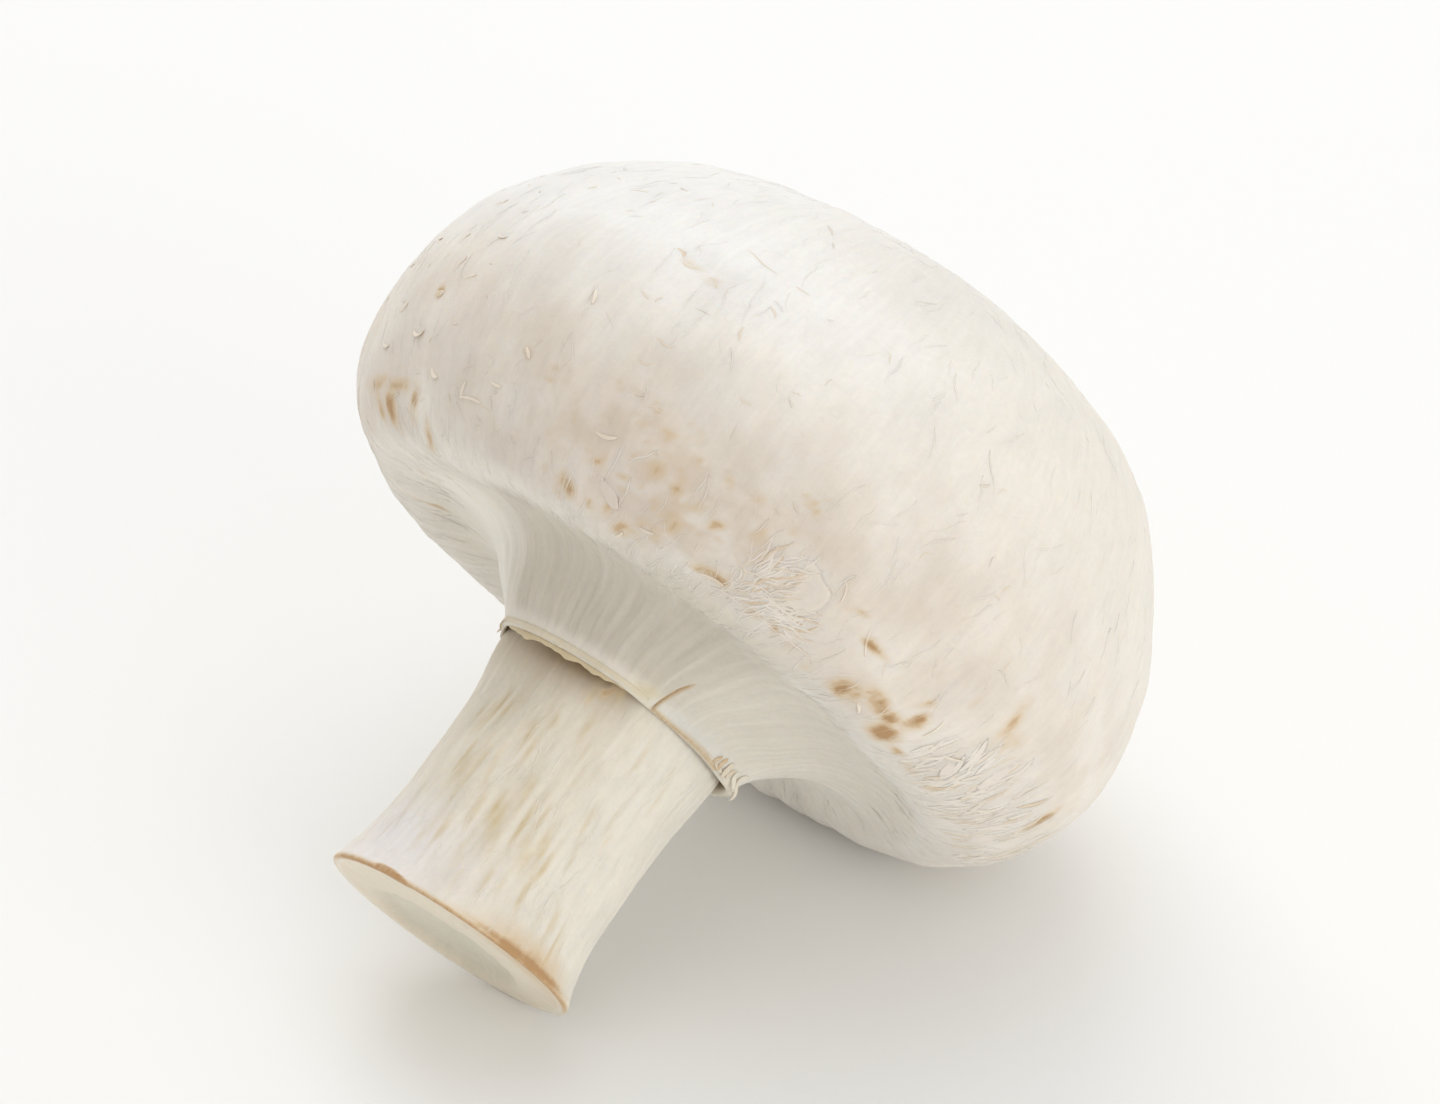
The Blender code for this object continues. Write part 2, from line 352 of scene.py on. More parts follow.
def cap_place(azimuth, height):
    """Where the cap's skin is seen at an azimuth and height: the azimuth it was drawn at,
    before the cap was pushed off centre, and its distance along the outline before the cant."""
    first = np.searchsorted(outline_distance, END.rim)
    from_heavy = np.radians(azimuth) - HEAVY_SIDE
    pushed = CAP_OFFSET * np.sin(from_heavy) / CAP_WIDTH_NEAR_RIM
    level = height + math.tan(CAP_CANT) * CAP_WIDTH_NEAR_RIM * np.cos(from_heavy)
    return azimuth + np.degrees(pushed), np.interp(level, outline[first:, 1], outline_distance[first:])


def dab(azimuth, distance, across, along, lean=0.0):
    """1 at a place, fading as a bell curve over two half sizes in mm, leaning in degrees."""
    sideways = turned_from(azimuths, azimuth) * grid_radius
    forward = distances - distance
    turn = math.radians(lean)
    u = sideways * math.cos(turn) + forward * math.sin(turn)
    v = forward * math.cos(turn) - sideways * math.sin(turn)
    return np.exp(-(u / across) ** 2 - (v / along) ** 2)


skin_grain = grain(azimuths, distances, CAP_GRAIN_RADIUS)
stem_grain = grain(azimuths, distances, STEM_GRAIN_RADIUS)
past_cut, past_edge, past_neck, past_pocket, past_hem, past_vault, past_rim = (
    distances - end for end in (END.cut, END.edge, END.neck, END.pocket, END.hem, END.vault, END.rim))
on_stem = between(distances, END.edge, END.edge + 1.2, END.neck, END.neck + 0.3)
on_veil = between(distances, END.hem, END.hem + 1.2, END.rim - 3.5, END.rim + 0.5)
on_rim = between(past_rim, -5.0, -1.6, 0.2, 2.6)
on_cap = fade(past_rim, -1.0, 2.0)
on_cut = 1 - fade(past_cut, -0.5, 0.0)
off_crown = fade(END.top - distances, 5.0, 20.0)

# %% Raise the relief, in millimetres
CRACK_AZIMUTH, CRACK_TURN, CRACK_LENGTH, CRACK_HALF_WIDTH = 230.0, 4.0, 2.9, 0.11
crack_share = past_hem / CRACK_LENGTH
crack_side = turned_from(azimuths, CRACK_AZIMUTH + CRACK_TURN * np.clip(crack_share, 0, 1)) * grid_radius
crack_run = between(crack_share, -0.15, 0.0, 0.7, 1.0)
crack = bell(crack_side, 0, CRACK_HALF_WIDTH) * crack_run
crack_step = between(crack_side, -0.05, 0.1, 0.6, 3.5) * crack_run

# Where they are, what they run along, their height and length in mm, and their seed.
cap_below_crown = on_cap * off_crown
relief_waves = [
    (on_cap, smooth, 0.15, 15, 1), (on_cap, smooth, 0.045, 5.5, 2), (on_cap, smooth, 0.012, 2.0, 3),
    (cap_below_crown, skin_grain, 0.012, 1.6, 4), (cap_below_crown, skin_grain, 0.009, 0.8, 5),
    (on_rim, skin_grain, 0.035, 1.3, 6), (on_rim, smooth, 0.05, 4.5, 7),
    (on_veil, skin_grain, 0.035, 1.5, 8), (on_veil, skin_grain, 0.025, 0.7, 9),
    (on_veil, smooth, 0.1, 7, 10), (on_stem, stem_grain, 0.03, 1.1, 11),
    (on_stem, stem_grain, 0.015, 0.5, 12), (on_stem, smooth, 0.1, 8, 13), (on_cut, smooth, 0.02, 1.6, 14),
]
relief = np.zeros_like(distances)
for share, places, height, length, seed in relief_waves:
    relief += share * height * waves(places, length, seed)

# The middle of the cut has dried and sunk, a little to one side of the stem's axis.
HEART_X, HEART_Y, DISH_DEPTH, HOLLOW_DEPTH = 2.0, 1.5, 0.45, 0.15
from_heart = np.hypot(smooth[..., 0] - HEART_X, smooth[..., 1] - HEART_Y)
dish = 1 - fade(from_heart, 4.3, 5.1)
relief -= on_cut * (DISH_DEPTH * dish + HOLLOW_DEPTH * (1 - (grid_radius / FOOT_RADIUS) ** 2))

# Dents and swellings of the cap: azimuth, height, half width, half length, lean, rise.
swellings = [
    (198, 33.5, 7.5, 3.6, 35, 0.5), (186, 27.5, 7.0, 4.0, 0, -0.25),
    (189, 37.1, 3.0, 0.65, -6, -0.3), (190, 38.2, 3.2, 0.8, -6, 0.14),
]
for azimuth, height, across, along, lean, rise in swellings:
    relief += rise * dab(*cap_place(azimuth, height), across, along, lean)

# A ridge of torn veil climbs to the right of the crack, one of whose sides stands up.
RIDGE_START, RIDGE_SWEEP, RIDGE_RISE, CRACK_STEP, CRACK_DEPTH = 234, 36, 0.12, 0.1, 0.2
ridge_share = np.clip(np.degrees(turned_from(azimuths, RIDGE_START)) / RIDGE_SWEEP, 0, 1)
ridge = bell(past_hem, 2.7 + 2.6 * ridge_share, 0.4) * between(ridge_share, 0, 0.06, 0.5, 1)
relief += RIDGE_RISE * ridge + CRACK_STEP * crack_step - CRACK_DEPTH * crack
relief += 0.6 * near(azimuths, 215, 60, 4) * bell(past_vault, 0.6, 2.6)


def grid_normals(points):
    """Unit normals of a closed grid: the cross product of its two neighbour differences."""
    around = np.roll(points, -1, axis=1) - np.roll(points, 1, axis=1)
    normal = np.cross(around, np.gradient(points, axis=0))
    normal[0], normal[-1] = (0, 0, -1), (0, 0, 1)
    return normal / np.maximum(np.linalg.norm(normal, axis=-1, keepdims=True), 1e-9)


body = smooth + relief[..., None] * grid_normals(smooth)
body[0], body[-1] = body[0].mean(axis=0), body[-1].mean(axis=0)
body_normals = grid_normals(body)
print("relief from", round(relief.min(), 2), "to", round(relief.max(), 2), "mm")


# %% [markdown]
# ## Colour of the flesh
# Fresh button mushrooms are near white, and each part is white in its own way: ivory
# where the cap has stayed clean, pinkish beige where it was rubbed, cream on the stem.
# The veil's greenish grey is painted shade, and light and shade are painted on parts of
# the stem, hem and rim too. These broad tones are mixed per vertex, which keeps them
# with the shape. The fine grain is added later by the material's own noise.

# %% Tones as linear colours
def linear(hex_colour):
    """An sRGB hex value as a linear colour, by the standard's power curve."""
    channels = np.array([int(hex_colour[i:i + 2], 16) for i in (1, 3, 5)]) / 255
    return np.where(channels <= 0.04045, channels / 12.92, ((channels + 0.055) / 1.055) ** 2.4)


def tinted(base, colour, share):
    """A mix of colours: share 0 keeps the base and share 1 gives the colour."""
    return base + (linear(colour) - base) * np.clip(share, 0, 1)[..., None]


def washed(base, washes):
    """Colours laid over a base one after the other, each by its own share."""
    for colour, share in washes:
        base = tinted(base, colour, share)
    return base


CROWN_WHITE, IVORY, RUBBED, RIM_WHITE = "#F9F7F3", "#F2EBDF", "#E6DBCE", "#F0E9DE"
VEIL_IN_SHADE, VEIL_LIT = "#D1C9BA", "#E4DED1"
STEM_CREAM, STEM_WHITE, STEM_SHADE, STEM_LIT_SIDE = "#EFE7D7", "#F2EDEA", "#E2D8C5", "#EFE9DC"
CUT_FLESH, CUT_HEART = "#EADFCA", "#DED7C4"
HEM_YELLOW, POCKET_SHADOW, HEM_SHADE = "#DDD0AE", "#A58D68", "#C0AF96"
CLOUD_TAN, CLOUD_GREY, RIM_HIGHLIGHT = "#D9C8B1", "#D6D0C8", "#F6F2EA"
STREAK_OLIVE, DEEP_SHADE, CUT_STAIN = "#D9C69F", "#9C8362", "#D9B88C"
RIM_DARKER_FRONT, VEIL_MOST_LIT, CROWN_IN_SHADE = "#D9D0BE", "#F4EFE4", "#EBE7DE"
WARM_TAN = "#D6C0A8"

# The cap: rubbed low on the left, cleanest high on the left and clouded all round. High on the front it is
# painted darker as shade, and a painted highlight runs along the rim's ridge.
rubbed_side = 0.62 + 0.38 * np.cos(turned_from(azimuths, 172))
rubbed = (1 - fade(grid_height, 25.0, 38.0)) * rubbed_side * (0.7 + 0.25 * waves(smooth, 7, 20))
near_pole = 1 - fade(END.top - distances, 3.0, 15.0)
clean_side = fade(np.cos(turned_from(azimuths, 155)), -0.1, 0.95)
clean_side = clean_side + (0.55 - clean_side) * near_pole
# Painted shade high on the front of the cap.
crown_shade_side = near(azimuths, 218, 34) * fade(grid_height, 39.5, 44.5)
clouds = np.clip(0.5 + 0.6 * waves(smooth, 4.5, 24) + 0.3 * waves(smooth, 1.8, 25), 0, 1)
low_on_cap = on_cap * (1 - fade(grid_height, 27.0, 39.0))
warm_patch = near(azimuths, 203, 25) * bell(grid_height, 24.8, 3.2)
speckle = np.clip(0.45 + 0.7 * waves(smooth, 2.4, 36) + 0.35 * waves(smooth, 0.9, 37), 0, 1)
grey_clouds = np.clip(0.3 + 0.6 * waves(smooth, 5.5, 26) + 0.15 * waves(skin_grain, 2.0, 27), 0, 1)
grey_clouds *= 0.25 + 0.75 * near(azimuths, 172, 48)
# A painted highlight along the ridge of the rim.
rim_highlight = bell(past_rim, -0.7, 0.55) * fade(turned_from(azimuths, 225), 0.0, 0.3)
tone = washed(np.zeros_like(smooth) + linear(IVORY), [
    (RUBBED, on_cap * rubbed),
    (CROWN_WHITE, on_cap * fade(grid_height, 28.0, 38.5) * clean_side),
    (CROWN_IN_SHADE, 0.8 * crown_shade_side * (1 - near_pole)),
    (CLOUD_TAN, 0.24 * clouds * low_on_cap),
    (WARM_TAN, 0.5 * warm_patch * speckle * on_cap),
    (CLOUD_GREY, 0.22 * grey_clouds * on_cap * (1 - fade(grid_height, 33.0, 46.0))),
    (RIM_WHITE, on_rim),
    # The front of the rim is darker.
    (RIM_DARKER_FRONT, 0.8 * on_rim * near(azimuths, 216, 26)),
    (RIM_HIGHLIGHT, 0.7 * rim_highlight),
])

# The veil: its greenish grey is painted shade, darkest in front, and it is painted lighter towards both
# sides, most of all near the floor and at the left end.
lit_sides = fade(np.abs(turned_from(azimuths, 188)), 0.55, 1.15)
most_lit_veil = near(azimuths, 335, 40) + near(azimuths, 128, 18)
veil_colour = washed(np.zeros_like(smooth) + linear(VEIL_IN_SHADE), [(VEIL_LIT, lit_sides), (VEIL_MOST_LIT, most_lit_veil)])
veil_share = np.clip(on_veil * (0.95 + 0.1 * waves(skin_grain, 1.5, 21)), 0, 1)
tone = tone + (veil_colour - tone) * veil_share[..., None]

# The stem, its cut and the hem. The stem is painted darker in front and lighter towards its right side, as
# shade and light, and the hem's shadow on the stem and in its pocket is painted too.
below_hem = 1 - fade(past_neck, -0.2, 0.0)
foot_white = (1 - fade(grid_height, 2.5, 7.0)) * near(azimuths, 165, 40.1)
heart = 1 - fade(from_heart, 4.2, 5.4)
stained = near(azimuths, 252, 34.4) * fade(grid_radius, 5.5, 8.2)
in_pocket = fade(past_neck, -0.5, 0.4) * (1 - fade(past_pocket, -0.4, 0.0))
hem_yellowed = 0.35 * bell(past_hem, -0.35, 0.45) + 0.85 * dab(222.5, END.hem + 0.35, 1.0, 0.45, 20)
under_hem = fade(past_neck, -3.6, -0.2) * (1 - in_pocket) * below_hem * near(azimuths, 172, 44, 4)
tone = washed(tone, [
    (STEM_CREAM, below_hem),
    # Painted shade on the front of the stem, broken by noise.
    (STEM_SHADE, below_hem * (0.3 + 0.3 * waves(stem_grain, 1.5, 22)) * (1 - lit_sides)),
    # Painted light towards the stem's right side.
    (STEM_LIT_SIDE, below_hem * fade(turned_from(azimuths, 195), 0.2, 1.1)),
    (STEM_WHITE, below_hem * foot_white),
    (CUT_FLESH, on_cut),
    (CUT_HEART, on_cut * heart),
    (CUT_STAIN, 0.7 * on_cut * stained),
    # Painted shade in the pocket behind the hem, in brown.
    (POCKET_SHADOW, in_pocket),
    (HEM_YELLOW, hem_yellowed),
    # Painted shadow of the hem on the stem below it.
    (HEM_SHADE, 0.95 * under_hem),
    # Painted shadow under the lips, darkest where they stand off the stem.
    (DEEP_SHADE, 0.95 * bell(past_neck, -0.2, 0.9) * near(azimuths, 192, 27, 4)),
])

# %% [markdown]
# ## Bruises
# A mushroom's skin browns wherever it was touched, in small spots with a soft halo, in
# streaks that follow the fibres, and all along the knife's cut. Each mark is a dab with
# a place, a size and a strength. On the cap a place is an azimuth and a height.

# %% Marks on the cap: azimuth, height, half width, half length, lean, strength
FRECKLES, STREAKS, STREAK_LEAN = 70, 60, 16
cap_marks = [
    (203.5, 22.4, 0.55, 0.3, 20, 0.6), (205, 24.9, 0.65, 0.22, 0, 0.45),
    (196.5, 26.8, 0.25, 0.7, -40, 0.35), (242, 21.9, 0.85, 0.8, 0, 1), (246.6, 22.5, 1.05, 0.48, -20, 1),
    (252, 21.7, 0.85, 0.9, 0, 1), (250, 22.4, 0.7, 0.5, 20, 0.9), (252.6, 23.2, 0.45, 0.7, 0, 1),
    (251, 24.2, 0.25, 0.8, -30, 0.45), (257, 21.6, 0.65, 0.35, 0, 0.6), (262, 21.5, 0.75, 0.28, 0, 0.5),
    (268, 21.6, 0.6, 0.4, 30, 0.45), (274, 22.3, 0.5, 0.3, 0, 0.25), (291.5, 25.3, 0.5, 1.15, 0, 1),
    (263, 26.6, 0.7, 1.8, 15, 0.45), (262, 27.4, 0.25, 1.1, -20, 0.45), (265.5, 25.4, 0.3, 0.9, 40, 0.45),
    (265, 26, 1.2, 0.6, 30, 0.38), (239, 24.4, 1.1, 0.3, -5, 0.75), (255.5, 26, 0.35, 0.7, 0, 0.28),
    (143, 23.7, 3.4, 0.45, 0, 0.62), (138.5, 22.9, 0.5, 1.2, 0, 0.65), (142.5, 22.7, 0.75, 1.3, 10, 0.8),
    # The mark at 151 degrees and 29.1 mm is partly painted shade under a curled flake.
    (150.5, 23, 0.5, 1.2, -15, 0.65), (152.5, 21.8, 0.5, 1.4, -25, 0.55), (151, 29.1, 0.4, 0.4, 0, 0.8),
    (189, 22.3, 0.6, 0.75, 20, 1), (200, 21.8, 0.55, 0.55, 40, 0.8), (197, 22.4, 0.3, 0.6, 0, 0.45),
    (204, 22.6, 0.7, 0.35, 0, 0.65), (201, 25.2, 0.8, 0.7, 0, 0.42), (209, 24.6, 0.7, 0.28, 0, 0.65),
    (212, 24.4, 0.8, 0.32, 30, 0.55), (218, 25.2, 0.45, 0.6, 0, 0.6), (216.3, 22.3, 1.1, 0.34, 0, 0.7),
    (207.5, 23.2, 0.8, 0.7, 0, 0.4), (205.5, 22.2, 0.6, 0.5, 0, 0.35), (227.8, 22, 0.9, 0.25, -30, 0.5),
    (175, 27.5, 0.45, 0.45, 0, 0.4), (230, 25.3, 0.25, 1.3, -20, 0.32), (231, 21.9, 0.5, 0.5, 0, 0.4),
    (224.5, 22, 0.9, 0.3, 15, 0.45), (221.5, 22.5, 0.5, 0.3, 0, 0.4), (218, 22.6, 0.35, 0.3, 0, 0.35),
    (300, 21.7, 0.6, 0.3, 0, 0.5), (184, 22.6, 0.35, 0.35, 0, 0.4), (185, 24.6, 0.5, 0.4, 0, 0.25),
    # The weak marks at 187 and 192 degrees, high on the cap, are partly painted shade in a torn fold.
    (194, 24.2, 0.4, 0.6, 30, 0.3), (207, 23.5, 0.5, 0.7, 0, 0.18), (187, 36.9, 1.6, 0.35, -10, 0.24),
    (192, 36.5, 1.6, 0.5, 0, 0.2), (235.5, 21.5, 0.5, 0.3, 0, 0.35), (231.5, 22.8, 0.35, 0.3, 0, 0.3),
    # The side that faces away has fewer.
    (85, 24, 0.8, 0.6, 30, 0.7), (62, 27.5, 0.5, 0.9, 0, 0.5), (320, 23.5, 0.7, 0.7, 0, 0.7),
    (100, 33, 0.6, 0.6, 0, 0.4), (35, 25, 0.9, 0.5, 0, 0.5), (345, 29, 0.5, 0.9, 0, 0.4),
]
mark_chance = np.random.default_rng(38)


def drawn(*ranges):
    """One number out of each range, in order."""
    return [mark_chance.uniform(low, high) for low, high in ranges]


for _ in range(FRECKLES):
    azimuth = mark_chance.normal(205, 13)
    cap_marks.append((azimuth, *drawn((21.8, 28.5), (0.12, 0.3), (0.2, 0.8), (30, 120), (0.2, 0.5))))
bruise = np.zeros_like(distances)
for azimuth, height, across, along, lean, strength in cap_marks:
    bruise = np.maximum(bruise, strength * dab(*cap_place(azimuth, height), across, along, lean))
bruise = bruise * np.clip(1 + 0.28 * waves(smooth, 1.1, 34) + 0.08 * waves(smooth, 0.5, 35), 0.3, 1.4)

# %% Marks on the stem and along the cut
stem_marks = [
    (182, 3.6, 0.5, 1, 0, 0.7), (186, 3.1, 0.35, 0.8, 0, 0.5), (201, 6.2, 0.45, 1.3, 18, 0.8),
    (205, 4.9, 0.35, 1.3, 18, 0.6), (214, 6, 0.5, 1.5, 18, 0.8), (209, 7.4, 0.4, 1.2, 18, 0.5),
    (228, 6.1, 0.4, 1.2, 18, 0.8), (224, 4.8, 0.35, 1.3, 18, 0.6), (231, 3.1, 0.25, 1.3, 10, 0.7),
    (164, 12.5, 0.35, 1.6, 12, 0.8), (167, 9, 0.45, 1.9, 12, 0.9), (172, 7.2, 0.35, 1.2, 18, 0.6),
    # The marks at 213 and 208 degrees, just under the hem, are partly painted shadow of the lips.
    (213, 16.4, 0.6, 0.5, 0, 1), (208, 15.6, 0.9, 0.25, 40, 0.6), (195, 10.5, 0.35, 1.6, 18, 0.5),
    (188, 12, 0.3, 1.5, 18, 0.4), (220, 11.5, 0.3, 1.5, 18, 0.35), (240, 9, 0.35, 1.6, 18, 0.4),
    (250, 1.6, 0.22, 1.6, 0, 0.7), (257, 1.8, 0.22, 1.8, 0, 0.8), (264, 1.5, 0.2, 1.5, 0, 0.6),
    (192, 5.2, 0.4, 0.9, 18, 0.6), (196, 3.4, 0.35, 0.9, 18, 0.5), (207, 8.6, 0.3, 0.9, 18, 0.5),
    (219, 7.8, 0.35, 1.1, 18, 0.6), (233, 5, 0.3, 1.3, 18, 0.5), (222, 2.6, 0.28, 1.2, 18, 0.5),
    (214, 2.9, 0.3, 1, 18, 0.45), (120, 7, 0.5, 1.8, 0, 0.7), (70, 10, 0.5, 2, 0, 0.7),
    (320, 5, 0.6, 1.6, 0, 0.6), (20, 8, 0.45, 1.8, 0, 0.7), (345, 11, 0.45, 1.6, 0, 0.6),
    (95, 4, 0.4, 1.4, 0, 0.6),
]
for _ in range(STREAKS):
    azimuth, height, across, along = drawn((150, 262), (1.5, 14.5), (0.12, 0.3), (0.5, 1.6))
    stem_marks.append((azimuth, height, across, along, STREAK_LEAN, *drawn((0.15, 0.5))))
streaked = 0.6 + 0.6 * waves(stem_grain, 0.6, 28)
for azimuth, height, across, along, lean, strength in stem_marks:
    mark = strength * dab(azimuth, END.edge + height, across, along, lean)
    tone = tinted(tone, STREAK_OLIVE, np.clip(mark * streaked, 0, 1) * below_hem)

# Brown along the knife's cut: a fine line, a dark wedge on the left and a wide stain.
edge_wander = 0.5 + 0.5 * waves(grain(azimuths, 0 * distances, FOOT_RADIUS), 9, 23)
near_side = 0.35 + 0.65 * fade(np.cos(turned_from(azimuths, 215)), -0.2, 0.4)
edge_line = bell(past_cut, 0.15, 0.28) * np.clip(0.75 + 0.25 * edge_wander, 0, 1) * near_side
wedge = fade(dab(180, END.cut + 0.2, 1.7, 0.42, -7), 0.25, 0.55) * (1 - fade(past_edge, 0.3, 0.7))
knife_stain = 0.9 * dab(249, END.edge + 0.05, 4.2, 0.3) + 0.42 * dab(251, END.edge + 0.6, 4.0, 1.1)
on_edge = np.clip(np.maximum.reduce([edge_line, 0.85 * wedge, knife_stain]), 0, 1)

# Brown where the veil touches the stem, in the crack and in two folds under the rim. Just under the lips,
# the brown on the stem is partly painted shadow.
contact = bell(past_hem, 0.1 - 0.5 * edge_wander, 0.24) * fade(turned_from(azimuths, 227), 0, 0.05)
contact *= 1 - fade(turned_from(azimuths, 279), 0, 0.06)
brown_and_shadow_under_lips = 0.5 * dab(211, END.edge + 16.2, 1.0, 0.22, 40)
brown_and_shadow_under_lips += 0.45 * dab(207, END.edge + 15.6, 0.8, 0.18, 30)
fold = 0.65 * dab(102, END.rim - 2.0, 0.22, 1.5, -31) + 0.4 * dab(125, END.rim - 2.3, 0.22, 1.5, -61)
bruise = np.maximum.reduce([bruise, on_edge, 0.65 * contact, brown_and_shadow_under_lips * below_hem, 0.8 * crack, fold])

# %% [markdown]
# ## The flesh as a material
# Mushroom flesh is made of hyphae, fine water-filled threads, so it is matt, slightly
# translucent and faintly silky. Principled with a little subsurface gives the soft
# shadows. The colour starts from the vertex tones. Noise stretched along the fibres
# breaks it up, and breaks each bruise into streaks. The same noises give a shallow bump.

# %% Node helper and the flesh material
def add_node(tree, kind, inputs=None, **settings):
    """Adds one node: settings are its properties, inputs are socket values or links."""
    made = tree.nodes.new("ShaderNode" + kind)
    for name, value in settings.items():
        setattr(made, name, value)
    for name, value in (inputs or {}).items():
        if isinstance(value, bpy.types.NodeSocket):
            tree.links.new(value, made.inputs[name])
        else:
            made.inputs[name].default_value = value
    return made


def new_material(name, roughness, subsurface, sheen):
    """A Principled material that starts from typical values for soft, damp plant matter."""
    material = bpy.data.materials.new(name)
    material.use_nodes = True
    shader = material.node_tree.nodes["Principled BSDF"]
    shader.inputs["Roughness"].default_value = roughness
    shader.inputs["IOR"].default_value = 1.4
    shader.inputs["Subsurface Weight"].default_value = subsurface
    shader.inputs["Subsurface Radius"].default_value = (1.0, 0.75, 0.5)
    shader.inputs["Subsurface Scale"].default_value = 1.2 * MILLIMETRE
    shader.inputs["Sheen Weight"].default_value = sheen
    shader.inputs["Sheen Roughness"].default_value = 0.5
    return material, material.node_tree, shader


def noise(tree, place, scale, detail, roughness, distortion=0.0):
    """Fractal noise around one half."""
    return add_node(tree, "TexNoise", {
        "Vector": place, "Scale": scale, "Detail": detail, "Roughness": roughness, "Distortion": distortion,
    }).outputs["Fac"]


def remapped(tree, value, low, high, to_low=0.0, to_high=1.0):
    """A value moved from one range to another, and held inside it."""
    inputs = {"Value": value, "From Min": low, "From Max": high, "To Min": to_low, "To Max": to_high}
    return add_node(tree, "MapRange", inputs).outputs[0]


def combined(tree, operation, first, second):
    """Two values added or multiplied."""
    return add_node(tree, "Math", {0: first, 1: second}, operation=operation).outputs[0]


PER_MM = 1 / MILLIMETRE
FIBRE_WIDTH, TANGLE_SIZE, BLOTCH_SIZE = 0.4, 0.6, 5.0
BRUISE_BROWN, BRUISE_HALO = "#B28858", "#D9C19E"


def flesh_material(name, subsurface):
    """Mushroom flesh. It reads the attributes tone, grain and bruise from its piece."""
    material, tree, shader = new_material(name, roughness=0.7, subsurface=subsurface, sheen=0.12)
    tone_node, grain_node, bruise_node = (
        add_node(tree, "Attribute", attribute_name=attribute) for attribute in ("tone", "grain", "bruise"))
    place = add_node(tree, "TexCoord").outputs["Object"]
    # Bundles of hyphae are about 0.4 mm wide and several millimetres long on the skin.
    fibres = noise(tree, grain_node.outputs["Vector"], 1 / FIBRE_WIDTH, 4.0, 0.6)
    # The tangle between them has threads of every direction, about 0.25 mm across.
    tangle = noise(tree, place, PER_MM / TANGLE_SIZE, 5.0, 0.62, 1.2)
    blotches = noise(tree, place, PER_MM / BLOTCH_SIZE, 3.0, 0.55)
    weave = combined(tree, "ADD", fibres, tangle)
    shade = remapped(tree, weave, 0.7, 1.3, 0.95, 1.03)
    shading = combined(tree, "MULTIPLY", shade, remapped(tree, blotches, 0.35, 0.7, 1.0, 0.95))
    shaded = {0: tone_node.outputs["Color"], "Scale": shading}
    varied = add_node(tree, "VectorMath", shaded, operation="SCALE")
    broken = remapped(tree, weave, 0.7, 1.25, 0.78, 1.2)
    marked = combined(tree, "MULTIPLY", bruise_node.outputs["Fac"], broken)
    colour = varied.outputs[0]
    # A bruise is a pale halo first, and brown in its core where it is strong.
    for brown, low, high, most in ((BRUISE_HALO, 0.06, 0.5, 0.9), (BRUISE_BROWN, 0.4, 0.9, 0.85)):
        share = remapped(tree, marked, low, high, 0.0, most)
        mixed = {"Factor": share, "A": colour, "B": (*linear(brown), 1)}
        colour = add_node(tree, "Mix", mixed, data_type="RGBA").outputs["Result"]
    tree.links.new(colour, shader.inputs["Base Color"])
    bump = add_node(tree, "Bump", {"Height": weave, "Strength": 0.28, "Distance": 0.12 * MILLIMETRE})
    tree.links.new(bump.outputs["Normal"], shader.inputs["Normal"])
    return material


flesh = flesh_material("mushroom_flesh_of_fine_hyphae", subsurface=0.3)
# Loose threads are thinner than the depth light sinks to, so they are given none of it.
loose_flesh = flesh_material("loose_skin_of_dry_hyphae", subsurface=0.0)

# %% The body of the mushroom
on_stem_side = (distances < END.pocket)[..., None]
body_grain = np.where(on_stem_side, stem_grain, skin_grain)
body_mesh = skin_mesh("mushroom_body", body[None], tone[None], body_grain[None], bruise[None])
body_piece = add_piece(body_mesh, flesh)
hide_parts("mushroom")

# %% [markdown]
# ## Shreds of skin
# The skin of a button mushroom tears into threads, curled flakes and flat scales. All
# three are made by two recipes. A ribbon is a flattened tube whose path wanders over the
# finished skin. A scale is a thin pebble that follows the skin, with one edge lifted.
# Both read the body's own grid, so they sit on the relief and take its colour.

# %% Read the finished skin at any place
def read_grid(grid, azimuth, distance):
    """The value of a grid between its points: a mix of the nearest four."""
    column = azimuth / (2 * math.pi) * COLUMNS
    row = np.interp(distance, rows, np.arange(len(rows)))
    left = np.floor(column).astype(int)
    low = np.minimum(np.floor(row).astype(int), len(rows) - 2)
    across, up = column - left, row - low
    if grid.ndim == 3:
        across, up = across[..., None], up[..., None]
    left, right = left % COLUMNS, (left + 1) % COLUMNS
    first = grid[low, left] * (1 - across) + grid[low, right] * across
    second = grid[low + 1, left] * (1 - across) + grid[low + 1, right] * across
    return first * (1 - up) + second * up


def unit(vectors):
    return vectors / np.maximum(np.linalg.norm(vectors, axis=-1, keepdims=True), 1e-9)


def column_of(values, count):
    """Numbers given one for each shred, or one for all, as a column."""
    return np.broadcast_to(np.asarray(values, dtype=float).reshape(-1, 1), (count, 1))


# %% Ribbons
SHRED_BRUISE = 0.6


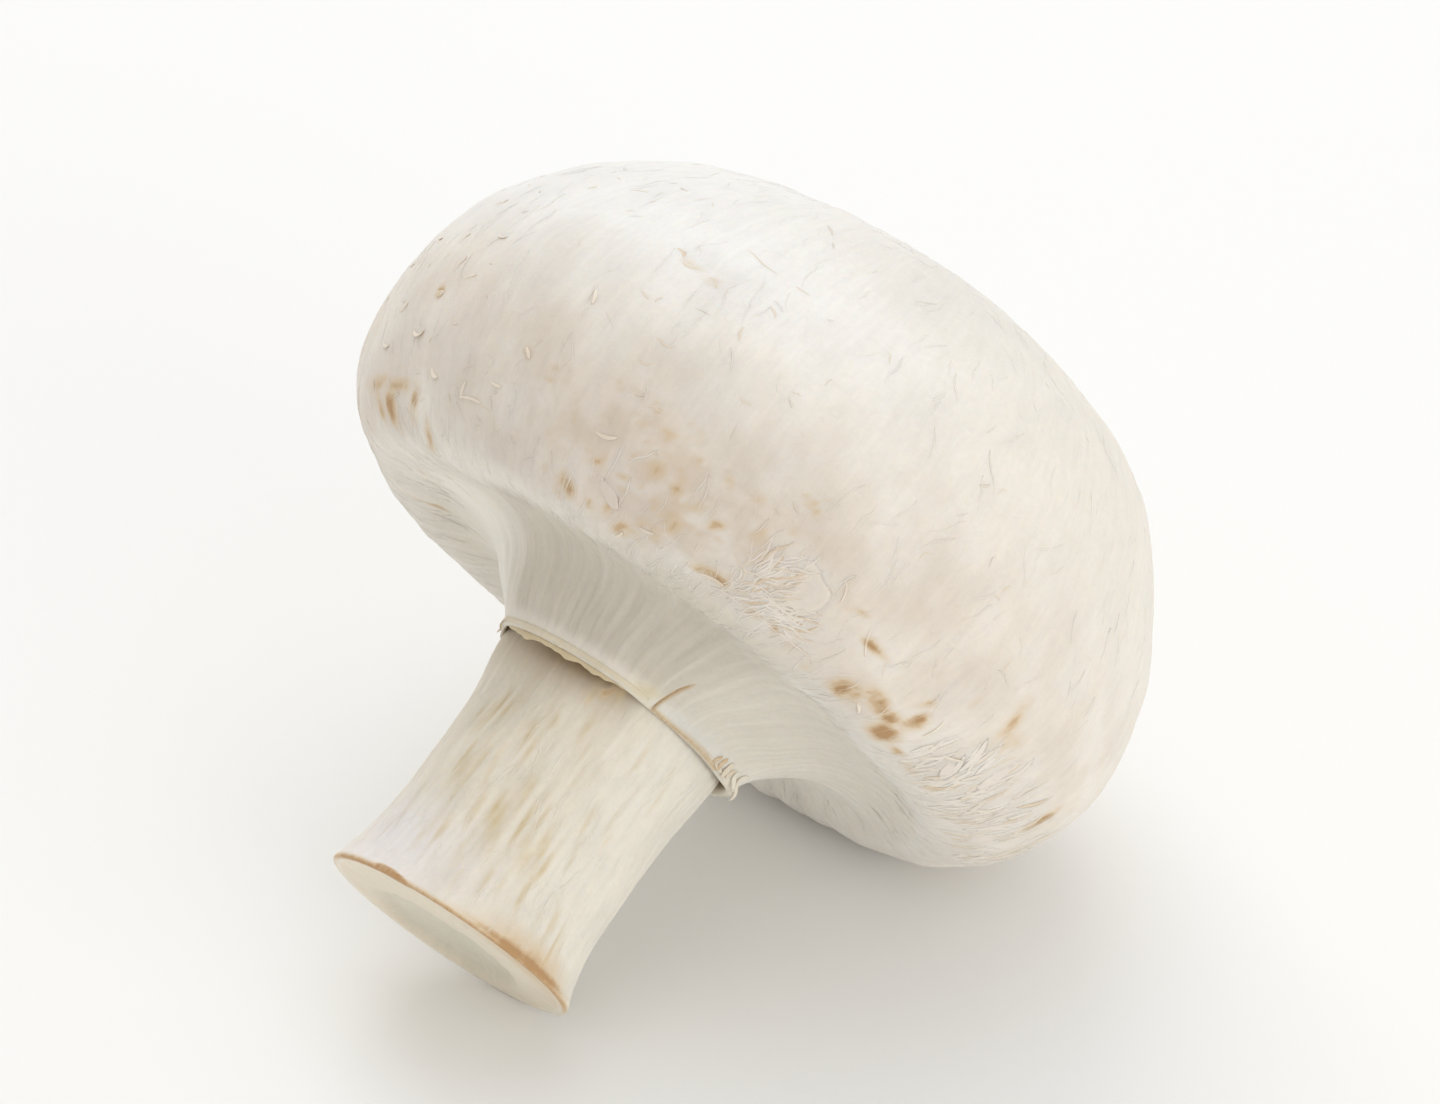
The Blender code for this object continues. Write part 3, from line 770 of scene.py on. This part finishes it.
def ribbons(azimuth, distance, heading, length, half_width, half_thickness, bend=0.0, wander=0.0,
            roll=0.0, lift=0.0, tip_lift=0.0, rings=9, columns=6, blunt=0.6, seed=0):
    """Flattened tubes along the skin. Each has a heading in degrees, 0 towards the crown and
    90 round to the right, and turns evenly by its bend. The width follows a sine to a
    power. Roll stands the ribbon on one edge, and tip_lift raises its far end."""
    count = len(azimuth)
    azimuth, distance = np.radians(column_of(azimuth, count)), column_of(distance, count)
    chance = np.random.default_rng(seed)
    share = np.linspace(0, 1, rings)[None, :]
    swing = np.radians(column_of(wander, count)) * np.sin(
        2 * math.pi * (share * chance.uniform(0.6, 1.6, (count, 1)) + chance.uniform(0, 1, (count, 1))))
    direction = np.radians(column_of(heading, count) + column_of(bend, count) * (share - 0.5)) + swing
    step = column_of(length, count) / (rings - 1)
    sideways = np.cumsum(np.sin(direction) * step, axis=1)
    onward = np.cumsum(np.cos(direction) * step, axis=1)
    radius = np.interp(distance, outline_distance, outline[:, 0])
    places = azimuth + (sideways - sideways.mean(axis=1, keepdims=True)) / radius
    reach = np.clip(distance + onward - onward.mean(axis=1, keepdims=True), 0, END.top)
    centre, normal = read_grid(body, places, reach), unit(read_grid(body_normals, places, reach))
    tangent = unit(np.gradient(centre, axis=1))
    side = unit(np.cross(normal, tangent))
    up = np.cross(tangent, side)
    lean = np.radians(column_of(roll, count))[..., None]
    flat_side = side * np.cos(lean) + up * np.sin(lean)
    flat_up = up * np.cos(lean) - side * np.sin(lean)
    taper = np.sin(math.pi * share) ** blunt
    width, thickness = column_of(half_width, count) * taper, column_of(half_thickness, count) * taper
    rise = column_of(lift, count) + column_of(tip_lift, count) * share ** 2
    rise = rise + np.abs(np.sin(lean[..., 0])) * width
    turn = np.arange(columns) * 2 * math.pi / columns
    spine = (centre + up * rise[..., None])[:, :, None, :]
    points = spine + flat_side[:, :, None, :] * (np.cos(turn) * width[..., None])[..., None]
    points = points + flat_up[:, :, None, :] * (np.sin(turn) * thickness[..., None])[..., None]
    return points, places, reach


def add_shreds(name, parts, tint, share, browning=0.0):
    """One piece from ribbons or scales: the skin's own tones, mixed with a tint."""
    points, places, reach = parts
    count, _, columns, _ = points.shape
    own = tinted(read_grid(tone, places, reach), tint, column_of(share, count) + 0 * places)
    place = grain(places, reach, CAP_GRAIN_RADIUS)
    browned = column_of(browning, count) + 0 * places
    marks = np.maximum(SHRED_BRUISE * read_grid(bruise, places, reach), browned)
    values = [np.repeat(value[:, :, None], columns, axis=2) for value in (own, place, marks)]
    return add_piece(skin_mesh(name, points, *values), loose_flesh)


# %% Scales
def scales(azimuth, distance, heading, half_length, half_width, thickness, lifted=0.1, ragged=0.15, seed=0,
           columns=22):
    """Thin pebbles on the skin. Seen from above each is an ellipse with a wavy edge. The
    edge ahead is lifted off the skin and the edge behind is sunk in it."""
    count = len(azimuth)
    azimuth, distance = np.radians(column_of(azimuth, count)), column_of(distance, count)
    chance = np.random.default_rng(seed)
    turn = -np.arange(columns)[None, None, :] * 2 * math.pi / columns
    edge = sum(np.cos(turn * wave + chance.uniform(0, 6.3, (count, 1, 1))) / wave for wave in (2, 3, 5, 7))
    edge = 1 + column_of(ragged, count)[..., None] * edge
    spread = np.array([0.0, 0.5, 0.85, 1.0, 1.0, 0.85, 0.5, 0.0])[None, :, None]
    level = np.array([-1.0, -1.0, -0.8, -0.4, 0.4, 0.8, 1.0, 1.0])[None, :, None]
    ahead = column_of(half_length, count)[..., None] * edge * spread * np.cos(turn)
    aside = column_of(half_width, count)[..., None] * edge * spread * np.sin(turn)
    heading = np.radians(column_of(heading, count))[..., None]
    onward = ahead * np.cos(heading) - aside * np.sin(heading)
    sideways = ahead * np.sin(heading) + aside * np.cos(heading)
    radius = np.interp(distance, outline_distance, outline[:, 0])[..., None]
    places, reach = azimuth[..., None] + sideways / radius, distance[..., None] + onward
    share = ahead / column_of(half_length, count)[..., None]
    rise = column_of(lifted, count)[..., None] * (fade(share, -0.3, 1.2) - 0.12)
    rise = rise + level * column_of(thickness, count)[..., None]
    points = read_grid(body, places, reach) + rise[..., None] * unit(read_grid(body_normals, places, reach))
    return points, places[:, :, 0], reach[:, :, 0]

# %% [markdown]
# ## Flakes and silk on the cap
# The flakes on the left curl like shavings. Their pale tint is partly painted light on the
# raised edge, and the brown under them is partly painted shade. Elsewhere they are small
# and lie flat. The silk is the loose end of single bundles of hyphae. It is what makes the
# edge of a mushroom look soft against the light.

# %% Curled flakes: azimuth, height, length, half width, heading, bend, roll
curled = np.array([
    (149, 26.5, 1.7, 0.16, 90, -110, 40), (142, 27.8, 1.2, 0.16, 60, -90, 40),
    (140, 25.6, 1.2, 0.14, 100, -60, 35), (151, 29, 1, 0.22, 80, -70, 45),
    (156, 24.6, 1.3, 0.15, 120, -90, 35), (166, 24, 2.4, 0.1, 85, 20, 30),
    (164, 24.3, 1.3, 0.12, 10, 40, 35), (152, 31, 1.3, 0.14, 15, 60, 40),
    (148, 32.8, 1.1, 0.14, 20, 120, 40), (147, 36, 1, 0.16, 40, 90, 40), (133, 31, 0.9, 0.1, 90, -60, 15),
    (131, 28.5, 0.8, 0.12, 60, -40, 15), (180, 32, 1.1, 0.14, 150, 40, 30),
    (175, 27.5, 0.9, 0.14, 130, 30, 35), (192.5, 25.4, 1.7, 0.13, 80, -60, 30),
    (156, 30.4, 1.6, 0.1, 70, 20, 25), (238, 24.4, 2, 0.07, 150, -40, 15),
    (231, 25.6, 1.6, 0.07, 150, 60, 15), (255, 23.6, 1.8, 0.1, 170, 50, 12),
    (216, 22.1, 1.9, 0.13, 75, 30, 30), (246, 21.7, 0.9, 0.12, 120, 80, 40),
    (262, 23.2, 1.6, 0.16, 60, -30, 35), (204, 22.3, 1.2, 0.12, 80, -40, 30),
    (200, 21.6, 0.9, 0.12, 30, -60, 35), (60, 26, 1.6, 0.16, 80, -70, 35), (330, 27, 1.5, 0.14, 60, 60, 35),
    (95, 29, 1.4, 0.16, 100, -80, 35), (157, 33.4, 1.1, 0.12, 95, -70, 30),
    (137, 33, 0.9, 0.12, 100, -60, 30), (171, 25.2, 1.2, 0.1, 95, -40, 25),
    (110, 25, 1.5, 0.15, 90, -70, 40), (25, 30, 1.3, 0.14, 40, 60, 30), (345, 23.5, 1.6, 0.15, 90, -60, 35),
])
azimuth, height, length, half_width, heading, bend, roll = curled.T
# Flakes that lie across the cap or point down it roll the other way, towards the light.
roll = np.where(heading < 85, 0.3, -0.7) * roll
curls = ribbons(
    *cap_place(azimuth, height), heading, length, half_width, 0.04, bend=bend, roll=roll,
    lift=-0.02, tip_lift=0.05, rings=11, blunt=0.45, seed=30)
# The flakes' pale tint is partly painted light on their raised edges.
add_shreds("curled_flakes", curls, "#F6E9D6", 0.6)

# %% Wrinkles and rubbed dashes: azimuth, height, length, half width, heading, bend, browning
wrinkles = np.array([
    (184.6, 37.1, 1.2, 0.16, 105, 40, 0.45), (187.5, 36.6, 1.6, 0.12, 85, -40, 0.35),
    (192, 36.4, 1.5, 0.12, 110, 50, 0.3), (194.5, 39.2, 3, 0.08, 92, 50, 0.28),
    (202, 39, 1.2, 0.08, 95, 45, 0.25), (201.5, 36.6, 1.3, 0.1, 140, 60, 0.25),
    (200.5, 34.2, 1.3, 0.12, 160, 40, 0.28), (193.2, 31.5, 1.8, 0.09, 80, -50, 0.28),
    (180, 32, 1, 0.12, 130, 20, 0.35), (174.5, 27.4, 1, 0.13, 120, 30, 0.35),
    (145.2, 36, 0.8, 0.12, 40, 30, 0.35), (142, 39.3, 0.9, 0.1, 90, 20, 0.35),
    (145.2, 38, 0.9, 0.09, 110, 40, 0.3), (159.5, 39, 0.8, 0.09, 10, 30, 0.35),
    (159, 40.6, 1, 0.07, 90, 20, 0.25), (166.3, 40.2, 1.6, 0.07, 50, 30, 0.25),
    (171, 38.3, 0.7, 0.07, 60, 30, 0.25), (176.4, 41.4, 1.4, 0.07, 30, 60, 0.2),
    (178.8, 41.3, 0.8, 0.07, 120, 30, 0.2), (217.5, 38.5, 1.2, 0.07, 150, 60, 0.25),
    (248, 31.8, 1, 0.08, 20, 50, 0.25), (247.5, 31, 0.8, 0.07, 100, 50, 0.25),
    (192.3, 30, 1.3, 0.08, 85, -60, 0.25), (186, 33.5, 1.1, 0.08, 100, 60, 0.2),
    (206.5, 31, 1, 0.08, 95, -40, 0.22), (211, 33, 0.9, 0.07, 80, 50, 0.2),
    (197, 28, 1.3, 0.1, 80, -30, 0.25), (222, 29, 1, 0.08, 70, 40, 0.2), (236, 30, 1.2, 0.07, 30, 40, 0.2),
    (255, 28.5, 1.3, 0.08, 10, 40, 0.2), (270, 30, 1.2, 0.08, 0, 40, 0.2), (240, 36, 1, 0.06, 40, 60, 0.15),
])
azimuth, height, length, half_width, heading, bend, browning = wrinkles.T
creases = ribbons(
    *cap_place(azimuth, height), heading, length, half_width, 0.03, bend=bend, wander=22,
    lift=-0.012, rings=13, seed=29)
add_shreds("wrinkles_of_the_cap", creases, "#E8DAC2", 0.35, 0.7 * browning)

# %% Small flat flakes, tan or pale
chance = np.random.default_rng(31)
FLAKES = 420
flake_azimuth = chance.uniform(0, 360, FLAKES)
flake_height = 22.5 + 25.5 * chance.uniform(0, 1, FLAKES) ** 1.5
kept = chance.uniform(0, 1, FLAKES) < 0.18 + 0.82 * bell(flake_azimuth, 150, 50)
flake_azimuth, flake_height, flakes_left = flake_azimuth[kept], flake_height[kept], kept.sum()
small = ribbons(
    *cap_place(flake_azimuth, flake_height), chance.uniform(-70, 110, flakes_left),
    chance.uniform(0.4, 1.3, flakes_left), chance.uniform(0.04, 0.10, flakes_left), 0.013,
    bend=chance.uniform(-70, 70, flakes_left), roll=chance.uniform(-12, 12, flakes_left),
    lift=-0.005, rings=7, columns=5, seed=32)
add_shreds("small_flakes", small, "#DCC9B0", chance.uniform(0.0, 0.5, flakes_left))

# %% Silk all over the cap
SILK_THICKNESS = 0.03


def add_silk(name, tint, share, azimuth, distance, heading,
             length, widest, lift, tip_lift, wander=8, seed=0):
    """Fine threads, the loose ends of hyphae. Share, length and tip_lift are ranges that a
    number is drawn from for each thread."""
    count = len(azimuth)
    threads = ribbons(
        azimuth, distance, heading, chance.uniform(*length, count),
        chance.uniform(SILK_THICKNESS, widest, count), SILK_THICKNESS, wander=wander, lift=lift,
        tip_lift=chance.uniform(*tip_lift, count), rings=8, columns=4, seed=seed)
    add_shreds(name, threads, tint, chance.uniform(*share, count))


SILK = 1300
silk_azimuth = chance.uniform(0, 360, SILK)
silk_distance = END.rim + (END.top - 2 - END.rim) * chance.uniform(0, 1, SILK) ** 0.9
add_silk(
    "silk_of_the_cap", "#F4F0E8", (0.0, 0.35), silk_azimuth, silk_distance, chance.normal(0, 24, SILK),
    length=(1.2, 3.4), widest=0.07, lift=-0.008, tip_lift=(-0.02, 0.03), wander=14, seed=33)

# %% [markdown]
# ## Torn mat and shaggy rim
# Where the cap was dragged along something, its outer skin has come off in a mat of
# threads, and a flap has stayed above it. Lower down the rim is shaggy: flat pointed
# shreds lie over one another like feathers, with their free ends towards the veil.

# %% Flaps: azimuth, height, heading, half length, half width, thickness, lifted edge
flaps = np.array([
    (225.8, 24.4, 75, 1.9, 1.6, 0.005, 0.035),
    (196.5, 22.9, 120, 1.0, 0.40, 0.03, 0.12), (263.5, 22.9, 150, 1.0, 0.40, 0.01, 0.07),
    (271.0, 24.3, 170, 1.4, 0.5, 0.008, 0.03), (100.0, 30.0, 60, 1.3, 0.7, 0.01, 0.03),
])
azimuth, height, heading, half_length, half_width, thickness, lifted = flaps.T
flap_parts = scales(
    *cap_place(azimuth, height), heading, half_length, half_width, thickness, lifted,
    ragged=0.16, seed=40, columns=48)
add_shreds("flaps_of_skin", flap_parts, "#E9E0D8", 0.3)

# %% Threads of the mat, fanned out from its lower left
MAT = 150
fan_share = chance.uniform(0, 1, (2, MAT))
mat_azimuth = 217.5 + 13.5 * fan_share[0] + chance.normal(0, 0.6, MAT)
fan_height = 0.35 + 0.65 * np.sin(math.pi * np.clip(fan_share[0] + 0.1, 0, 1))
mat_height = 21.9 + 3.9 * fan_share[1] * fan_height
mat_heading = 20 + 75 * fan_share[0] - 30 * fan_share[1] + chance.normal(0, 22, MAT)
mat = ribbons(
    *cap_place(mat_azimuth, mat_height), mat_heading, chance.uniform(1.0, 3.0, MAT),
    chance.uniform(0.05, 0.11, MAT), 0.024, bend=chance.normal(0, 45, MAT), wander=16,
    lift=chance.uniform(-0.02, 0.014, MAT), tip_lift=0.005, seed=41)
mat_share = chance.uniform(0.1, 0.7, MAT)
add_shreds("mat_of_threads", mat, "#EDE4D9", mat_share, 0.5 * chance.uniform(0, 1, MAT) ** 4)

# %% Feathers of the shaggy rim
FEATHERS = 300
feather_azimuth = chance.uniform(256, 312, FEATHERS)
feather_height = 20.9 + 4.4 * chance.uniform(0, 1, FEATHERS) ** 1.3 * fade(feather_azimuth, 248, 268)
feathers = ribbons(
    *cap_place(feather_azimuth, feather_height), 180 + chance.normal(0, 16, FEATHERS),
    chance.uniform(1.2, 3.6, FEATHERS), chance.uniform(0.12, 0.30, FEATHERS), 0.012,
    bend=chance.normal(0, 30, FEATHERS), wander=8, lift=chance.uniform(-0.012, 0.006, FEATHERS),
    tip_lift=chance.uniform(-0.025, 0.010, FEATHERS), blunt=0.7, seed=42)
feather_browning = 0.4 * chance.uniform(0, 1, FEATHERS) ** 3
add_shreds("feathers_of_the_rim", feathers, "#EFE8DC", chance.uniform(0.0, 0.8, FEATHERS), feather_browning)

# %% Fine threads from the rim across to the veil
RIM_SILK = 1500
rim_azimuth = chance.uniform(0, 360, RIM_SILK)
rim_distance = END.rim + chance.normal(0.3, 1.6, RIM_SILK)
add_silk(
    "silk_of_the_rim", "#F2EEE5", (0.1, 0.5), rim_azimuth, rim_distance,
    194 + chance.normal(0, 12, RIM_SILK), length=(1.5, 4.0), widest=0.08, lift=-0.01,
    tip_lift=(-0.02, 0.03), seed=43)

# %% [markdown]
# ## Torn hem of the veil
# The veil tore from the stem as the stem grew. On the left its hem is a pair of thin,
# yellowish lips that hang clear of the stem and throw a soft shadow on it. The inner
# lip is tinted darker, partly as painted shade under the outer one. Right of the crack it
# clings to the stem along a brown line, and ends in a few curled shreds. A lip is a sheet
# from a root on the veil to a wavy free edge, down one face and up the other.

# %% Lips
def lip(start, end, root, drop, flare, thickness, ragged, seed, rings=110, across=7):
    """A strip of sheet between two azimuths. root is where it leaves the skin, measured
    along the outline from the hem. Its free edge is a drop below the hem and flares out."""
    share = np.linspace(0, 1, rings)[:, None]
    azimuth = np.radians(start + (end - start) * share)
    down = np.linspace(0, 1, across)[None, :]
    ring_place = grain(azimuth[:, 0], 0 * azimuth[:, 0], HEM_RADIUS)
    wave = waves(ring_place, 2.2, seed) + 0.6 * waves(ring_place, 0.9, seed + 1)
    full = np.sin(math.pi * share) ** 0.35
    reach = (drop + ragged * wave[:, None]) * full
    base = read_grid(body, azimuth + 0 * down, END.hem + root + 0 * (azimuth + down))
    outward = np.concatenate([np.cos(azimuth), np.sin(azimuth), 0 * azimuth], axis=1)[:, None, :]
    out = (flare + 0.5 * ragged * waves(ring_place, 3.0, seed + 2)[:, None]) * full * down ** 1.6
    sheet = base + outward * out[..., None] - np.array([0, 0, 1.0]) * (reach * down)[..., None]
    half = thickness * np.sin(math.pi * (0.1 + 0.75 * down[..., None])) * full[..., None]
    front, back = sheet + outward * half, sheet - outward * half
    ring = np.concatenate([back, front[:, ::-1]], axis=1)
    ring[0], ring[-1] = ring[0].mean(axis=0), ring[-1].mean(axis=0)
    places = azimuth.T
    return ring[None], places, END.hem + root + 0 * places


# Name, start, end, root, drop, flare, thickness, raggedness, seed, tint, share of the tint.
lips = [
    ("outer_lip", 116, 226, 0.10, 0.36, 0.03, 0.045, 0.07, 50, "#E6DAC0", 0.75),
    # The inner lip's darker tint is partly painted shade under the outer lip.
    ("inner_lip", 150, 215, -0.45, 0.26, -0.22, 0.05, 0.06, 54, "#D3C09A", 0.9),
    ("clinging_lip", 268, 324, 0.15, 0.34, 0.02, 0.05, 0.14, 58, "#E6DFCF", 0.5),
    ("far_lip", 320, 474, 0.10, 0.50, 0.10, 0.07, 0.12, 62, "#E2DAC6", 0.5),
]
for name, *shape, tint, share in lips:
    add_shreds(name, lip(*shape), tint, share)

# %% Shreds that hang from the hem: azimuth, length, half width, heading, bend, tip lift
hanging = np.array([
    (276, 0.9, 0.16, 215, 40, 0.03), (281, 1.1, 0.20, 195, 50, 0.08), (286, 1.3, 0.24, 175, 60, 0.22),
    (290, 0.9, 0.18, 205, -40, 0.15), (294, 1.3, 0.20, 160, -50, 0.35), (298, 1.9, 0.15, 170, -90, 0.62),
    (121, 1.1, 0.26, 150, -120, 0.25), (115, 1.2, 0.24, 200, 100, 0.40),
])
azimuth, length, half_width, heading, bend, tip_lift = hanging.T
shreds = ribbons(
    azimuth, END.hem + 0.35, heading, length, half_width, 0.07, bend=bend, wander=15,
    roll=10, tip_lift=tip_lift, rings=12, columns=8, blunt=0.4, seed=66)
add_shreds("hanging_shreds", shreds, "#F0E8D8", 0.7, np.array([0.5, 0.45, 0.2, 0.3, 0.05, 0.1, 0.3, 0.2]))

# %% Hairs of the stem
STEM_HAIRS = 700
hair_azimuth = chance.uniform(0, 360, STEM_HAIRS)
hair_distance = END.edge + 0.8 + (END.neck - END.edge - 2.2) * chance.uniform(0, 1, STEM_HAIRS)
add_silk(
    "hairs_of_the_stem", "#F3EDDF", (0.0, 0.4), hair_azimuth, hair_distance,
    chance.normal(0, 9, STEM_HAIRS), length=(1.2, 3.2), widest=0.08, lift=-0.01,
    tip_lift=(-0.03, 0.01), seed=70)

# %% [markdown]
# ## Floor, light and camera
# The floor is a plain pale sheet. A wide soft light stands high behind the mushroom, as
# from a window, a second hangs over it, and a white wall to the right and the white
# surroundings fill the rest, so shadows stay faint. The camera looks down at the cut end
# through a long lens, which keeps the shape from spreading.

# %% Pale floor
HALF_FLOOR = 1.5
floor_mesh = bpy.data.meshes.new("floor")
floor_corners = [(x * HALF_FLOOR, y * HALF_FLOOR, 0) for x, y in ((-1, -1), (1, -1), (1, 1), (-1, 1))]
floor_mesh.from_pydata(floor_corners, [], [(0, 1, 2, 3)])
floor_material, _, floor_shader = new_material("matt_white_card", roughness=0.9, subsurface=0.0, sheen=0.0)
floor_shader.inputs["Base Color"].default_value = (*linear("#FBFBFA"), 1)
floor_mesh.materials.append(floor_material)
floor = bpy.data.objects.new("floor", floor_mesh)
bpy.context.scene.collection.objects.link(floor)

# %% Camera
VIEW_AZIMUTH, VIEW_ELEVATION, VIEW_DISTANCE = math.radians(47.1), math.radians(33.84), 0.5
VIEW_WIDTH, SENSOR = 0.0858, 36.0
AIM_HEIGHT, AIM_RIGHT, AIM_ABOVE = 0.024, 0.00113, -0.00013
forward = Vector((math.sin(VIEW_AZIMUTH) * math.cos(VIEW_ELEVATION),
                  math.cos(VIEW_AZIMUTH) * math.cos(VIEW_ELEVATION), -math.sin(VIEW_ELEVATION)))
right = Vector((math.cos(VIEW_AZIMUTH), -math.sin(VIEW_AZIMUTH), 0))
above = right.cross(forward)
aim = Vector((0, 0, AIM_HEIGHT)) + AIM_RIGHT * right + AIM_ABOVE * above
camera_data = bpy.data.cameras.new("camera")
camera_data.sensor_width = SENSOR
camera_data.lens = SENSOR * VIEW_DISTANCE / VIEW_WIDTH
camera = bpy.data.objects.new("camera", camera_data)
camera.location = aim - forward * VIEW_DISTANCE
camera.rotation_euler = forward.to_track_quat("-Z", "Y").to_euler()
bpy.context.scene.collection.objects.link(camera)
bpy.context.scene.camera = camera
print("lens, mm:", round(camera_data.lens, 1))


# %% Soft light
LIGHT_AIM = Vector((0, 0, 0.02))
WORLD_COLOUR, WORLD_STRENGTH = (1.0, 0.995, 0.985, 1), 0.675


def soft_light(name, sideways, depth, height, size, power):
    """A square area light placed from the camera's point of view, facing the mushroom."""
    data = bpy.data.lights.new(name, "AREA")
    data.size = size
    data.energy = power
    lamp = bpy.data.objects.new(name, data)
    away = Vector((forward.x, forward.y, 0)).normalized()
    lamp.location = right * sideways + away * depth + Vector((0, 0, height))
    lamp.rotation_euler = (LIGHT_AIM - lamp.location).to_track_quat("-Z", "Y").to_euler()
    bpy.context.scene.collection.objects.link(lamp)


soft_light("window_light", sideways=-0.12, depth=0.6, height=0.7, size=0.7, power=2.1)
soft_light("ceiling_light", sideways=0.0, depth=0.1, height=0.9, size=0.7, power=1.1)
soft_light("white_wall", sideways=0.5, depth=-0.6, height=0.18, size=0.6, power=1.9)
world = bpy.data.worlds.new("white_surroundings")
bpy.context.scene.world = world
world.use_nodes = True
background = world.node_tree.nodes["Background"]
background.inputs["Color"].default_value = WORLD_COLOUR
background.inputs["Strength"].default_value = WORLD_STRENGTH
bpy.context.scene.view_settings.view_transform = "Standard"

# %% [markdown]
# ## Finish
